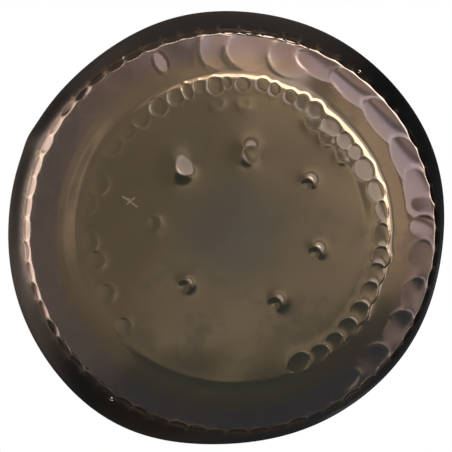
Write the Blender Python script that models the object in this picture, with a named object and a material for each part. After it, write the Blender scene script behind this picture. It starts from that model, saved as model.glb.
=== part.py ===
"""Hand-hammered accent gong: one disc of bronze sheet with its rim turned back.

The gong hangs upright with its face towards -Y and +Z up. The origin is the centre of its box.
The sheet is described as the smith works it. A flat round blank is turned to a section, which gives
the raised plateau, the sloping band and the turned-back rim. Two rings of overlapping hammer marks
and seven single marks are then struck into it, and four holes are drilled behind the shoulder.
"""
from math import atan2, cos, pi, radians, sin

import bmesh
import bpy
import numpy as np
from mathutils import Vector
from mathutils.geometry import delaunay_2d_cdt

# Section of the sheet: lengths in metres, slopes measured from the plane of the face
OUTER_DIAMETER = 0.560
SHOULDER_DIAMETER = 0.511
RIM_DEPTH = 0.045
SHEET_THICKNESS = 0.0013
BEND_RADIUS = 0.007
RIM_CURL = radians(8.0)
CROWN_SLOPE = radians(0.6)
STEP_RADIUS = 0.1970
STEP_WIDTH = 0.0042
STEP_SLOPE = radians(12.0)
BAND_SLOPE = radians(1.9)

# How far from round it was beaten: waves round the gong, their height in metres, and where one peaks
SHOULDER_WAVES = ((2, 0.0049, radians(-12.0)),)
EDGE_WAVES = (
    (2, 0.0036, radians(22.0)),
    (3, 0.0010, radians(-16.0)),
    (4, 0.0012, radians(-42.0)),
    (5, 0.0013, radians(23.0)),
    (8, 0.0006, radians(17.0)),
)
STEP_WAVES = ((1, 0.0012, radians(-169.0)), (2, 0.0032, radians(-28.0)), (5, 0.0013, radians(16.0)))
STEP_REACH = 0.018
KNOCK_ANGLE = radians(155.0)
KNOCK_WIDTH = radians(3.5)
KNOCK_HEIGHT = 0.0017

# Where the hammer has pushed the band lower: the middle and spread in angle, the start and end of the
# ramp on the blank, and the depth at its end
SAGS = (
    (radians(86.0), radians(16.0), 0.2000, 0.2520, 0.0027),
    (radians(13.0), radians(13.0), 0.2205, 0.2520, 0.0011),
)
SAG_FADE = 0.010

# Ring of hammer marks inside the step of the plateau
STEP_MARK_COUNT = 48
STEP_MARK_RING_RADIUS = 0.1860
STEP_MARK_RADIUS = 0.0130
STEP_MARK_DEPTH = 0.0007

# Ring of hammer marks inside the shoulder
SHOULDER_MARK_COUNT = 62
SHOULDER_MARK_RING_RADIUS = 0.2440
SHOULDER_MARK_RADIUS = 0.0145
SHOULDER_MARK_DEPTH = 0.0009

# Single marks on the plateau: the angle and distance from the centre at which each was struck
CENTRE_MARK_RADIUS = 0.0115
CENTRE_MARK_DEPTH = 0.0007
CENTRE_MARKS = (
    (radians(128.2), 0.1062),
    (radians(79.0), 0.1010),
    (radians(36.7), 0.1147),
    (radians(-9.7), 0.1103),
    (radians(-58.2), 0.0997),
    (radians(-134.6), 0.0937),
    (radians(175.9), 0.1063),
)
LIP_SHARE = 0.35
HAND_WANDER = 0.0022

# Holes for the hanging cord: angle round the gong, and distance behind the shoulder
HOLE_DIAMETER = 0.0056
COUNTERSINK_DIAMETER = 0.0078
COUNTERSINK_DEPTH = 0.0005
HOLES = (
    ("upper_left", radians(122.8), 0.0085),
    ("upper_right", radians(51.3), 0.0085),
    ("lower_left", radians(-126.8), 0.0110),
    ("lower_right", radians(-56.2), 0.0240),
)

# Size of the facets on hammered and on smooth metal
FINE_FACET = 0.0080
COARSE_FACET = 0.0150
RIM_FACET = 0.0100
DRILL_SIDES = 12
DRILL_REACH = 0.006
SHARP_ANGLE = radians(50.0)
EDGE_FINDER = 1e-6

BRONZE_COLOUR = (0.16, 0.13, 0.09, 1.0)


def turned_section():
    """Walks out from the centre along the front skin. Returns the length walked, the radius, the height
    towards the viewer and the slope at each point, and the lengths where the bend starts and ends."""
    bend_start = SHOULDER_DIAMETER / 2 - BEND_RADIUS / 2
    radius = np.linspace(0.0, bend_start, 800)
    step = np.exp(-((radius - STEP_RADIUS) / STEP_WIDTH) ** 2)
    outside = 1 / (1 + np.exp(-(radius - STEP_RADIUS) / (STEP_WIDTH / 2)))
    slope = CROWN_SLOPE * radius / STEP_RADIUS * (1 - outside) + BAND_SLOPE * outside + STEP_SLOPE * step
    drop = np.tan(slope)
    height = -np.concatenate(([0.0], np.cumsum((drop[1:] + drop[:-1]) / 2 * np.diff(radius))))
    start_slope = slope[-1]
    # The rim runs straight to the edge but for its curl, so its slope and the end of the bend depend on
    # each other and are found by turns.
    edge_height = height[-1] - RIM_DEPTH
    rim_slope = pi / 3
    for _ in range(12):
        end_slope = rim_slope - RIM_CURL / 2
        bend_end = bend_start + BEND_RADIUS * (sin(end_slope) - sin(start_slope))
        bend_foot = height[-1] - BEND_RADIUS * (cos(start_slope) - cos(end_slope))
        rim_slope = atan2(bend_foot - edge_height, OUTER_DIAMETER / 2 - bend_end)
    turn = np.linspace(start_slope, end_slope, 40)[1:]
    bend_radius = bend_start + BEND_RADIUS * (np.sin(turn) - sin(start_slope))
    bend_height = height[-1] - BEND_RADIUS * (cos(start_slope) - np.cos(turn))
    share = np.linspace(0.0, 1.0, 80)[1:]
    curl = end_slope + RIM_CURL * share
    reach = np.cumsum(np.cos(curl))
    fall = np.cumsum(np.sin(curl))
    rim_radius = bend_end + (OUTER_DIAMETER / 2 - bend_end) * reach / reach[-1]
    rim_height = bend_foot - (bend_foot - edge_height) * fall / fall[-1]
    radius = np.concatenate((radius, bend_radius, rim_radius))
    height = np.concatenate((height, bend_height, rim_height))
    slope = np.concatenate((slope, turn, curl))
    walked = np.concatenate(([0.0], np.cumsum(np.hypot(np.diff(radius), np.diff(height)))))
    return walked, radius, height, slope, walked[len(drop) - 1], walked[len(drop) + len(turn) - 1]


WALKED, RADIUS, HEIGHT, SLOPE, BEND_START, BEND_END = turned_section()
BLANK_RADIUS = WALKED[-1]


def waves(angle, table):
    """Sum of cosine waves round the gong: each row has a count, a height and the angle of a peak."""
    return sum(height * np.cos(count * (angle - peak)) for count, height, peak in table)


def eased(share):
    """A share from zero to one, eased at both ends."""
    share = np.clip(share, 0.0, 1.0)
    return share * share * (3 - 2 * share)


def turn_from(angle, middle):
    """The turn from a middle to an angle, between minus half a turn and plus half a turn."""
    return (angle - middle + pi) % (2 * pi) - pi


def out_of_round(walked, angle):
    """How far the sheet is pushed out from a true circle, growing from the step to the shoulder and
    changing from the shoulder's outline to the edge's along the rim."""
    shoulder = waves(angle, SHOULDER_WAVES)
    knock = KNOCK_HEIGHT * np.exp(-(turn_from(angle, KNOCK_ANGLE) / KNOCK_WIDTH) ** 2)
    edge = waves(angle, EDGE_WAVES) + knock
    up_to_shoulder = eased((walked - STEP_RADIUS) / (BEND_START - STEP_RADIUS))
    up_to_edge = eased((walked - BEND_END) / (BLANK_RADIUS - BEND_END))
    return shoulder * up_to_shoulder * (1 - up_to_edge) + edge * up_to_edge


def on_section(walked, angle):
    """Where on the turned section a place lies, once the step's wander round the gong is taken off."""
    wander = waves(angle, STEP_WAVES)
    return walked - wander * np.exp(-((walked - STEP_RADIUS) / STEP_REACH) ** 2)


def sag(walked, angle):
    """Height of the sagged sheet: each sag is a bell round the gong times a straight ramp outwards."""
    height = np.zeros_like(walked)
    for middle, spread, start, end, depth in SAGS:
        bell = np.exp(-(turn_from(angle, middle) / spread) ** 2)
        height -= depth * bell * np.clip((walked - start) / (end - start), 0.0, 1.0)
    fade = (BEND_END + SAG_FADE - walked) / (BEND_END + SAG_FADE - BEND_START)
    return height * eased(fade)


def hammer_marks():
    """Every blow as its place on the blank, its radius and its depth, in the order it was struck.
    The hand wanders a little from the ring, always in the same way."""
    hand = np.random.default_rng(22)
    blows = []
    rings = (
        (STEP_MARK_COUNT, STEP_MARK_RING_RADIUS, STEP_MARK_RADIUS, STEP_MARK_DEPTH),
        (SHOULDER_MARK_COUNT, SHOULDER_MARK_RING_RADIUS, SHOULDER_MARK_RADIUS, SHOULDER_MARK_DEPTH),
    )
    for count, ring_radius, mark_radius, depth in rings:
        for number in range(count):
            slip, drift = hand.uniform(-HAND_WANDER, HAND_WANDER, 2)
            weight = hand.uniform(0.75, 1.25)
            angle = 2 * pi * number / count + slip / ring_radius
            blows.append((angle, ring_radius + drift, mark_radius, depth * weight))
    for angle, distance in CENTRE_MARKS:
        blows.append((angle, distance, CENTRE_MARK_RADIUS, CENTRE_MARK_DEPTH))
    return blows


def relief(walked, angle):
    """Height of the hammered surface over the turned one. Each blow leaves a shallow round dish, which
    wipes out what was there, and raises a lip round it that dies away outside."""
    x = walked * np.cos(angle)
    z = walked * np.sin(angle)
    height = np.zeros_like(walked)
    for mark_angle, distance, mark_radius, depth in hammer_marks():
        away = np.hypot(x - distance * cos(mark_angle), z - distance * sin(mark_angle)) / mark_radius
        hold = np.clip(1 - away**6, 0.0, 1.0)
        dish = depth * (away**2 - 1)
        lip = LIP_SHARE * depth * np.exp(-(((away - 1) / 0.4) ** 2)) * (away > 1)
        height = height * (1 - hold) + dish * hold + lip
    fade = np.clip((BEND_END - walked) / (BEND_END - BEND_START), 0.0, 1.0)
    return height * fade


def skin(walked, angle, depth):
    """Points of the sheet at a depth under its front skin. The blank is stretched a hair so that each
    skin ends in the plane of the back edge, which is filed flat."""
    fall = HEIGHT - depth * np.cos(SLOPE)
    rim = WALKED > BEND_END
    end = np.interp(-HEIGHT[-1], -fall[rim], WALKED[rim])
    place = walked * end / BLANK_RADIUS
    section = on_section(place, angle)
    slope = np.interp(section, WALKED, SLOPE)
    lift = relief(place, angle) + sag(place, angle) - depth
    radius = np.interp(place, WALKED, RADIUS) + out_of_round(place, angle) + lift * np.sin(slope)
    height = np.interp(section, WALKED, HEIGHT) + lift * np.cos(slope)
    return np.stack((radius * np.cos(angle), -height, radius * np.sin(angle)), axis=-1)


def facet_size(walked):
    """Facets are fine where a blow has fallen and coarse on smooth metal."""
    hammered = (
        (STEP_MARK_RING_RADIUS, STEP_MARK_RADIUS + HAND_WANDER),
        (SHOULDER_MARK_RING_RADIUS, SHOULDER_MARK_RADIUS + HAND_WANDER),
    ) + tuple((distance, CENTRE_MARK_RADIUS) for _, distance in CENTRE_MARKS)
    struck = any(abs(walked - ring) < reach for ring, reach in hammered)
    return FINE_FACET if struck else COARSE_FACET


def blank_rings():
    """Distances from the centre at which rings of points lie on the blank. One ring lies at each end
    of the bend and in its middle, and the last ring is the edge."""
    rings = []
    walked = COARSE_FACET
    while walked < BEND_START - FINE_FACET / 2:
        rings.append(walked)
        walked += facet_size(walked + FINE_FACET / 2)
    rings += [BEND_START, (BEND_START + BEND_END) / 2, BEND_END]
    rows = max(2, round((BLANK_RADIUS - BEND_END) / COARSE_FACET))
    rings += [BEND_END + (BLANK_RADIUS - BEND_END) * row / rows for row in range(1, rows + 1)]
    return rings


def blank_points():
    """Points of the blank, ring by ring, each ring turned half a facet from the one before."""
    points = [Vector((0.0, 0.0))]
    for number, ring in enumerate(blank_rings()):
        size = facet_size(ring) if ring < BEND_START else RIM_FACET
        count = max(8, round(2 * pi * ring / size))
        turn = pi / count * (number % 2)
        for step in range(count):
            angle = turn + 2 * pi * step / count
            points.append(Vector((ring * cos(angle), ring * sin(angle))))
    return points


def make_metal():
    """Tarnished bronze: dull brown metal with a soft shine."""
    metal = bpy.data.materials.new("patinated_bronze")
    metal.use_nodes = True
    shader = metal.node_tree.nodes["Principled BSDF"]
    shader.inputs["Base Color"].default_value = BRONZE_COLOUR
    shader.inputs["Metallic"].default_value = 1.0
    shader.inputs["Roughness"].default_value = 0.38
    return metal


def make_gong(metal):
    """Beats the blank into the gong: a front and a back skin, joined by the flat back edge. Returns the
    object and the shift that put the centre of its box on the origin."""
    blank, _, faces, _, _, _ = delaunay_2d_cdt(blank_points(), [], [], 0, 1e-7)
    place = np.array([tuple(point) for point in blank])
    walked = np.hypot(place[:, 0], place[:, 1])
    angle = np.arctan2(place[:, 1], place[:, 0])
    skins = np.concatenate((skin(walked, angle, 0.0), skin(walked, angle, SHEET_THICKNESS)))
    shift = -(skins.max(axis=0) + skins.min(axis=0)) / 2
    sheet = bmesh.new()
    verts = [sheet.verts.new(point) for point in skins + shift]
    total = len(place)
    for face in faces:
        sheet.faces.new([verts[index] for index in face])
        sheet.faces.new([verts[index + total] for index in reversed(face)])
    edge = [index for index in range(total) if walked[index] > BLANK_RADIUS - EDGE_FINDER]
    edge.sort(key=lambda index: angle[index])
    for first, second in zip(edge, edge[1:] + edge[:1]):
        sheet.faces.new([verts[second], verts[first], verts[first + total], verts[second + total]])
    bmesh.ops.recalc_face_normals(sheet, faces=sheet.faces)
    mesh = bpy.data.meshes.new("gong")
    sheet.to_mesh(mesh)
    sheet.free()
    mesh.shade_smooth()
    mesh.set_sharp_from_angle(angle=SHARP_ANGLE)
    mesh.materials.append(metal)
    gong = bpy.data.objects.new("gong", mesh)
    bpy.context.collection.objects.link(gong)
    return gong, shift


def make_drill(name, angle, behind_shoulder, shift):
    """A drill with a countersink, turned about its own axis and set square to the rim."""
    place = np.array([(BEND_START + BEND_END) / 2 + behind_shoulder])
    turn = np.array([angle])
    point = skin(place, turn, 0.0)[0] + shift
    slope = float(np.interp(place[0], WALKED, SLOPE))
    outward = Vector((sin(slope) * cos(angle), -cos(slope), sin(slope) * sin(angle)))
    reach = DRILL_REACH
    profile = (
        (0.0, -reach),
        (HOLE_DIAMETER / 2, -reach),
        (HOLE_DIAMETER / 2, -COUNTERSINK_DEPTH),
        (COUNTERSINK_DIAMETER / 2, 0.0),
        (COUNTERSINK_DIAMETER / 2, reach),
        (0.0, reach),
    )
    tool = bmesh.new()
    verts = [tool.verts.new((radius, 0.0, along)) for radius, along in profile]
    outline = [tool.edges.new(pair) for pair in zip(verts, verts[1:])]
    bmesh.ops.spin(tool, geom=outline, cent=(0, 0, 0), axis=(0, 0, 1), angle=2 * pi, steps=DRILL_SIDES)
    bmesh.ops.remove_doubles(tool, verts=tool.verts, dist=1e-5)
    bmesh.ops.recalc_face_normals(tool, faces=tool.faces)
    mesh = bpy.data.meshes.new(name)
    tool.to_mesh(mesh)
    tool.free()
    drill = bpy.data.objects.new(name, mesh)
    drill.location = Vector(point)
    drill.rotation_euler = outward.to_track_quat("Z", "Y").to_euler()
    drill.hide_render = True
    drill.display_type = "WIRE"
    bpy.context.collection.objects.link(drill)
    return drill


def drill_hole(gong, drill):
    """Cuts one hole through the rim."""
    cut = gong.modifiers.new(drill.name, "BOOLEAN")
    cut.operation = "DIFFERENCE"
    cut.solver = "EXACT"
    cut.object = drill


for old in list(bpy.data.objects):
    bpy.data.objects.remove(old, do_unlink=True)

gong, shift = make_gong(make_metal())
for name, angle, behind_shoulder in HOLES:
    drill_hole(gong, make_drill("drill_" + name, angle, behind_shoulder, shift))
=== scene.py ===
# %% [markdown]
# # A hammered accent gong
#
# This lesson dresses one object: a bronze gong, beaten from a single sheet. The solid model from
# the construction step is loaded first, and its box places the gong. The gong is then rebuilt as a
# fine surface worked out with numpy, because its whole character lies in shallow hammer marks that
# only show in what the metal reflects.

# %% [markdown]
# ## The frame
#
# The solid model arrives as a frame: bodies, sizes and joints. Its box is kept, and the fine
# surface is centred on it.

# %% Load the frame
from math import atan2, cos, pi, radians, sin

import bpy
import numpy as np
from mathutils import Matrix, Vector


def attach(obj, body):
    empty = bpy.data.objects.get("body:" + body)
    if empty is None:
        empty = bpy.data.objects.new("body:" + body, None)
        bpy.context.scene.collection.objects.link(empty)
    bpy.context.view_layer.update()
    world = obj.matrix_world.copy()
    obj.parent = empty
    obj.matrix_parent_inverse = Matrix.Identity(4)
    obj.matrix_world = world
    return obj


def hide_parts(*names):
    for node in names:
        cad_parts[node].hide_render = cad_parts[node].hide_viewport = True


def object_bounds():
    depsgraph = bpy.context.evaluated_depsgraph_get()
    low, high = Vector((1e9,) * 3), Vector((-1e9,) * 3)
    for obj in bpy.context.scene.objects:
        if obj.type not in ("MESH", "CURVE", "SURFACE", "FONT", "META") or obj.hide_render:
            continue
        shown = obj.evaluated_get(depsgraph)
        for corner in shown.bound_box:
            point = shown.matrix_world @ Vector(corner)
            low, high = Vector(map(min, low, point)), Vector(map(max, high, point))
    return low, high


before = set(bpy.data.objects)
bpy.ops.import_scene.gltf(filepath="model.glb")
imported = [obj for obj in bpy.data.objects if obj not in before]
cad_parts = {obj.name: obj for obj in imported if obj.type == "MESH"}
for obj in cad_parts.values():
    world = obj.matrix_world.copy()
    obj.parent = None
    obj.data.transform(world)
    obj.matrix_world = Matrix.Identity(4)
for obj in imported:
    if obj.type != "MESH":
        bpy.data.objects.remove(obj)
cad_box = [list(corner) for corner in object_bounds()]

# %% [markdown]
# ## The camera
#
# The photograph shows a little more of the rim on the left than on the right, and a little more
# above than below. A rim that is even on a real gong looks like that when the camera stands
# slightly to the left and slightly above. A long lens from a few metres away keeps the round
# outline free of perspective.

# %% Camera at the photograph's angle
CAMERA_AZIMUTH = radians(-9.5)
CAMERA_ELEVATION = radians(3.7)
CAMERA_DISTANCE = 3.5
FRAME_PIXELS = 452
PIXELS_PER_METRE = 792.3
GONG_CENTRE_PIXEL = (232.4, 229.9)
SENSOR_WIDTH = 36.0

towards_camera = Vector((
    sin(CAMERA_AZIMUTH) * cos(CAMERA_ELEVATION),
    -cos(CAMERA_AZIMUTH) * cos(CAMERA_ELEVATION),
    sin(CAMERA_ELEVATION),
))
camera_turn = towards_camera.to_track_quat("Z", "Y")
camera = bpy.data.objects.new("camera", bpy.data.cameras.new("camera"))
bpy.context.collection.objects.link(camera)
bpy.context.scene.camera = camera
aside = camera_turn @ Vector(((FRAME_PIXELS / 2 - GONG_CENTRE_PIXEL[0]) / PIXELS_PER_METRE,
                              (GONG_CENTRE_PIXEL[1] - FRAME_PIXELS / 2) / PIXELS_PER_METRE, 0.0))
camera.location = towards_camera * CAMERA_DISTANCE + aside
camera.rotation_mode = "QUATERNION"
camera.rotation_quaternion = camera_turn
camera.data.sensor_width = SENSOR_WIDTH
camera.data.lens = SENSOR_WIDTH * CAMERA_DISTANCE * PIXELS_PER_METRE / FRAME_PIXELS
print("lens", round(camera.data.lens, 1), "mm at", CAMERA_DISTANCE, "m")

# %% [markdown]
# ## The section of the sheet
#
# A gong is turned before it is hammered: cut through its middle, the sheet rises to a flat plateau,
# drops at a step, slopes on as a band, bends at the shoulder and runs back as the rim. The section
# could be drawn as a list of points. It is walked out from the centre instead, by its slope,
# because slope is what a reflection shows, and because a length along the sheet is also what the
# hammer meets.

# %% Sizes of the section
OUTER_RADIUS = 0.280
SHOULDER_RADIUS = 0.2555
RIM_DEPTH = 0.045
SHEET_THICKNESS = 0.0013
BEND_RADIUS = 0.007
RIM_CURL = radians(8.0)
CROWN_SLOPE = radians(0.6)
STEP_RADIUS = 0.1970
STEP_WIDTH = 0.0032
STEP_SLOPE = radians(12.0)
BAND_SLOPE = radians(1.9)


def turned_section():
    """Length walked along the front skin, radius, height towards the viewer and slope.

    On the face the slope is a crown that grows with the radius, then a bell at the step, then the
    even slope of the band. Height is minus the running sum of the slope's tangent. The bend is an
    arc, and the rim is a slightly curled line that ends at the outer radius, one rim depth behind
    the shoulder.
    """
    bend_start = SHOULDER_RADIUS - BEND_RADIUS / 2
    radius = np.linspace(0.0, bend_start, 1200)
    outside = 1 / (1 + np.exp(-(radius - STEP_RADIUS) / (STEP_WIDTH / 2)))
    slope = CROWN_SLOPE * radius / STEP_RADIUS * (1 - outside) + BAND_SLOPE * outside
    slope = slope + STEP_SLOPE * np.exp(-((radius - STEP_RADIUS) / STEP_WIDTH) ** 2)
    drop = np.tan(slope)
    height = -np.concatenate(([0.0], np.cumsum((drop[1:] + drop[:-1]) / 2 * np.diff(radius))))
    start_slope, edge_height = slope[-1], height[-1] - RIM_DEPTH
    rim_slope = pi / 3
    for _ in range(12):
        end_slope = rim_slope - RIM_CURL / 2
        bend_end = bend_start + BEND_RADIUS * (sin(end_slope) - sin(start_slope))
        bend_foot = height[-1] - BEND_RADIUS * (cos(start_slope) - cos(end_slope))
        rim_slope = atan2(bend_foot - edge_height, OUTER_RADIUS - bend_end)
    turn = np.linspace(start_slope, end_slope, 60)[1:]
    curl = end_slope + RIM_CURL * np.linspace(0.0, 1.0, 120)[1:]
    reach, fall = np.cumsum(np.cos(curl)), np.cumsum(np.sin(curl))
    radii = (radius, bend_start + BEND_RADIUS * (np.sin(turn) - sin(start_slope)),
             bend_end + (OUTER_RADIUS - bend_end) * reach / reach[-1])
    heights = (height, height[-1] - BEND_RADIUS * (cos(start_slope) - np.cos(turn)),
               bend_foot - (bend_foot - edge_height) * fall / fall[-1])
    radii, heights = np.concatenate(radii), np.concatenate(heights)
    walked = np.concatenate(([0.0], np.cumsum(np.hypot(np.diff(radii), np.diff(heights)))))
    slopes = np.concatenate((slope, turn, curl))
    return walked, radii, heights, slopes, walked[len(radius) - 1], walked[len(radius) + len(turn) - 1]


WALKED, RADIUS, HEIGHT, SLOPE, BEND_START, BEND_END = turned_section()
BLANK_RADIUS = WALKED[-1]
print("blank radius mm", round(BLANK_RADIUS * 1000, 1), "drop to shoulder mm",
      round(-np.interp(BEND_START, WALKED, HEIGHT) * 1000, 2))

# %% [markdown]
# ## Out of round
#
# No beaten gong is a true circle. Its outline in the photograph is a little oval and a little
# lumpy. A few cosine waves round the gong say that far better than a traced outline: each has a
# count, a height and the angle of a peak.

# %% Out of round
SHOULDER_WAVES = ((2, 0.0049, radians(-12.0)),)
EDGE_WAVES = (
    (2, 0.0036, radians(22.0)),
    (3, 0.0010, radians(-16.0)),
    (4, 0.0012, radians(-42.0)),
    (5, 0.0013, radians(23.0)),
    (8, 0.0006, radians(17.0)),
)
STEP_WAVES = ((1, 0.0012, radians(-169.0)), (2, 0.0032, radians(-28.0)), (5, 0.0013, radians(16.0)))
STEP_REACH = 0.018
KNOCK_ANGLE = radians(155.0)
KNOCK_WIDTH = radians(3.5)
KNOCK_HEIGHT = 0.0017


def waves(angle, table):
    """Sum of cosine waves round the gong."""
    return sum(height * np.cos(count * (angle - peak)) for count, height, peak in table)


def eased(share):
    """A share from zero to one, eased at both ends: three times its square less twice its cube."""
    share = np.clip(share, 0.0, 1.0)
    return share * share * (3 - 2 * share)


def wrapped(angle):
    """The same angle between minus pi and pi."""
    return (angle + pi) % (2 * pi) - pi


def out_of_round(walked, angle):
    """Push away from a true circle: none up to the step, the shoulder's waves at the bend, and a
    straight change from those to the edge's waves along the rim."""
    edge = waves(angle, EDGE_WAVES)
    edge = edge + KNOCK_HEIGHT * np.exp(-((wrapped(angle - KNOCK_ANGLE) / KNOCK_WIDTH) ** 2))
    up_to_shoulder = eased((walked - STEP_RADIUS) / (BEND_START - STEP_RADIUS))
    up_to_edge = eased((walked - BEND_END) / (BLANK_RADIUS - BEND_END))
    return waves(angle, SHOULDER_WAVES) * up_to_shoulder * (1 - up_to_edge) + edge * up_to_edge


# %% [markdown]
# ## The hammer marks
#
# Two rings of overlapping blows give this gong its look, one inside the step and one inside the
# shoulder, and seven single blows ring the middle. A bump texture could fake them, but the light
# then slides off them in every other view. So each blow is struck into the surface, in order: a
# blow wipes out what was there and leaves its own shallow dish, which is why the last dish of each
# pair keeps its whole round edge.
#
# Tables hold the blows. A row gives the angle in degrees, then in millimetres the distance from the
# centre, half the length along the ring, half the width across it and the depth. A sixth number is
# a twist in degrees.

# %% Blows inside the step
TOP_RING = (
    (121.6, 184.5, 12.0, 12.0, 0.22), (114.0, 185.5, 11.0, 11.5, 0.26), (109.0, 187.5, 7.0, 12.0, 0.40),
    (103.8, 188.5, 9.0, 9.0, 0.20), (98.0, 185.7, 11.5, 13.0, 0.34), (93.4, 188.0, 6.0, 9.0, 0.24),
    (87.2, 185.6, 10.0, 10.5, 0.22), (79.2, 188.2, 10.5, 10.5, 0.22), (74.6, 186.2, 8.0, 10.4, 0.30),
    (67.6, 184.2, 9.5, 11.0, 0.24), (62.3, 184.5, 10.5, 13.0, 0.26), (56.4, 184.5, 13.0, 13.2, 0.22),
    (47.2, 181.6, 15.0, 12.2, 0.22), (39.2, 181.5, 11.5, 11.0, 0.22), (33.2, 184.0, 10.0, 10.4, 0.22),
    (25.4, 184.0, 15.4, 14.8, 0.26), (15.8, 188.5, 14.6, 12.4, 0.24),
)
RIGHT_RING = (
    (7.6, 190.0, 13.4, 9.0, 0.10), (-1.8, 188.5, 15.5, 11.5, 0.10), (-10.2, 190.5, 14.0, 12.6, 0.14),
    (-17.0, 189.0, 14.4, 12.0, 0.13), (-24.8, 189.0, 15.2, 12.4, 0.14), (-33.5, 190.0, 15.4, 13.4, 0.17),
    (-41.2, 189.0, 15.0, 12.6, 0.15), (-48.8, 189.0, 15.0, 12.0, 0.12), (-56.1, 189.0, 15.4, 12.9, 0.14),
    (-64.0, 184.5, 16.0, 13.5, 0.12),
)
LEFT_RING = (
    (-141.0, 183.5, 12.1, 12.0, 0.07), (-156.0, 180.5, 13.2, 12.6, 0.08), (-169.6, 180.5, 13.2, 13.1, 0.09),
    (-177.0, 185.0, 13.2, 11.6, 0.08), (168.5, 191.5, 14.3, 12.6, 0.04), (160.0, 184.0, 14.3, 13.6, 0.08),
    (144.5, 192.0, 15.4, 13.7, 0.04), (137.2, 188.0, 13.2, 11.6, 0.03), (130.0, 186.0, 12.1, 11.6, 0.06),
)
SECOND_RING = (
    (98.0, 164.0, 9.0, 8.0, 0.04), (86.0, 163.0, 9.0, 8.0, 0.05), (54.0, 167.0, 11.0, 8.0, 0.08),
    (45.5, 165.0, 10.0, 8.5, 0.08), (35.0, 166.0, 9.0, 8.0, 0.07),
)
print("blows inside the step", len(TOP_RING + RIGHT_RING + LEFT_RING + SECOND_RING))

# %% [markdown]
# ## The blows on the band
#
# On the band the hammer fell in long blows that overlap like scales. They are broad and soft at the
# top, deep and crisp at the upper right, and hardly marked on the left. Two stand alone: a narrow
# leaf at the upper left and a soft round one at the right.

# %% Blows on the band
CREAM_BAND = (
    (96.4, 233.0, 19.0, 27.0, 0.10), (85.5, 233.0, 30.0, 27.0, 0.15), (72.0, 234.0, 30.0, 27.0, 0.15),
)
TOP_BAND = (
    (61.0, 241.5, 42.0, 19.5, 0.30, -5.0), (48.0, 241.0, 46.0, 20.0, 0.60, -6.0),
    (34.3, 241.5, 46.0, 21.0, 0.62, -11.0), (21.5, 239.5, 38.0, 19.0, 0.42, -8.0),
    (10.8, 239.0, 38.0, 18.0, 0.26, 0.0),
)
LEAF = ((113.8, 234.0, 9.2, 16.0, 0.02),)
BLOB = ((7.8, 241.0, 15.0, 22.0, 0.02),)
RIGHT_BAND = (
    (1.0, 240.0, 15.0, 17.0, 0.34, 0.0),
    (-8.2, 239.0, 23.0, 16.0, 0.20, 0.0), (-20.0, 241.0, 24.0, 13.0, 0.34, 0.0),
    (-31.0, 242.0, 26.0, 16.0, 0.44, 0.0), (-43.5, 241.0, 26.0, 17.0, 0.40, 0.0),
    (-53.5, 238.0, 22.0, 12.0, 0.20, 0.0),
)
LEFT_BAND = (
    (-64.0, 239.0, 22.0, 16.0, 0.05), (-76.0, 239.0, 23.0, 15.0, 0.05),
    (-88.0, 240.0, 22.0, 15.0, 0.03), (-100.0, 240.0, 22.0, 14.0, 0.03), (-111.0, 240.0, 20.0, 16.0, 0.07),
    (-122.0, 240.0, 22.0, 14.0, 0.03), (-134.0, 240.0, 22.0, 14.0, 0.02), (-145.0, 240.0, 20.0, 14.0, 0.02),
    (-156.0, 240.0, 20.0, 14.0, 0.02), (-167.0, 240.0, 20.0, 14.0, 0.04), (-178.0, 240.0, 20.0, 13.0, 0.03),
    (171.0, 241.0, 20.0, 13.0, 0.05), (160.0, 241.0, 20.0, 12.0, 0.04), (149.0, 241.0, 20.0, 12.0, 0.05),
    (138.0, 241.0, 20.0, 13.0, 0.04), (127.0, 241.0, 20.0, 13.0, 0.05),
)
print("blows on the band", len(CREAM_BAND + TOP_BAND + LEAF + BLOB + RIGHT_BAND + LEFT_BAND))

# %% [markdown]
# ## The single blows
#
# Seven blows stand apart on the plateau. The two at the top push the metal round them up as well,
# and the other five are small dents. A dent's row goes on with the way it leans, in degrees, and
# how much.

# %% Single blows
BULGES = ((128.0, 106.0, 11.0, 11.0, 0.22), (78.8, 100.0, 11.4, 11.4, 0.15))
DENTS = (
    (33.3, 109.0, 7.6, 7.6, 0.22, 0.0, 62.0, 1.0), (-14.8, 104.5, 8.0, 8.0, 0.22, 0.0, 55.0, 1.0),
    (-61.3, 103.0, 8.8, 8.8, 0.20, 0.0, 45.0, 1.0), (-134.8, 94.0, 8.8, 8.8, 0.18, 0.0, 32.0, 1.0),
    (173.3, 106.0, 11.0, 11.0, 0.08, 0.0, 10.0, 1.0),
)
print("single blows", len(BULGES + DENTS))

# %% [markdown]
# ## How each group was struck
#
# The same hammer leaves a flat facet, a round dish or a soft dent, by how it is held. A manner says
# it: the power of the dish's curve, its lip's height over the depth, how soft its edge is (crisp,
# small is sharp), whether it flattens the section, how much and to which side it leans, the tip of
# the facet in degrees and its side, how wide the lip spreads, and whether the lip swells on inside.

# %% Manners of striking
RING = {
    "power": 6.0, "lip": 0.25, "crisp": 0.10, "flat": 1.0, "lean": 0.0, "side": 0.0, "tip": (1.3, 0.0),
    "spread": 0.17, "swell": 0.0,
}
TILTED_RING = {
    **RING, "power": 2.0, "lip": 3.2, "crisp": 0.08, "lean": 0.9, "side": 100.0, "tip": (0.9, 0.0),
    "spread": 0.24,
}
FAINT_RING = {
    **RING, "power": 2.0, "lip": 2.2, "crisp": 0.35, "flat": 0.0, "lean": 1.0, "side": 160.0,
}
SOFT_RING = {
    **RING, "power": 2.0, "lip": 6.0, "crisp": 0.50, "flat": 0.0, "lean": 1.0, "side": 190.0,
    "spread": 0.40, "swell": 1.0,
}
BAND = {
    **RING, "power": 2.0, "lip": 0.12, "crisp": 0.09, "flat": 0.0, "lean": 0.6, "side": 90.0,
}
CREAM = {**BAND, "lip": 5.0, "lean": 1.0, "spread": 0.24, "swell": 1.0}
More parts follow.
